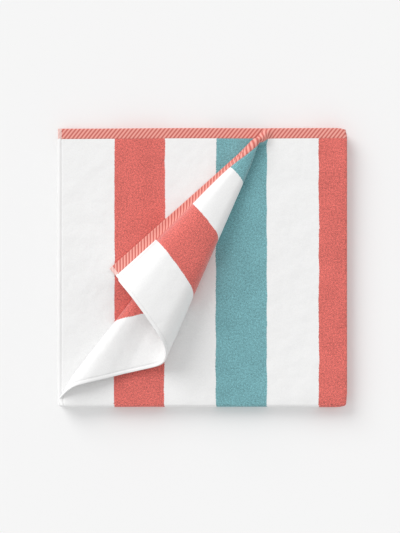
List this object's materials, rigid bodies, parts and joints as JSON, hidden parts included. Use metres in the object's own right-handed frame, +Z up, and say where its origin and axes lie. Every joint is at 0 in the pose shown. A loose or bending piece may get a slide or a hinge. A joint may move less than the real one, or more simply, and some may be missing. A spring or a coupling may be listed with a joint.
{
  "type": "folded beach towel",
  "caption": "Striped terry beach towel folded into a square stack of layers, its top corner turned back in a loose cone-shaped roll.",
  "frame": {"origin": "under the middle of the folded towel's outline, on the surface that it lies on", "axes": "+X right across the stripes, +Y along the stripes towards the end hem, +Z up"},
  "size_m": [0.46, 0.4435, 0.0939],
  "materials": {
    "terry": "cotton terry pile, white with coral and aqua stripes"
  },
  "bodies": {
    "root": {"towel": "terry"}
  },
  "joints": []
}
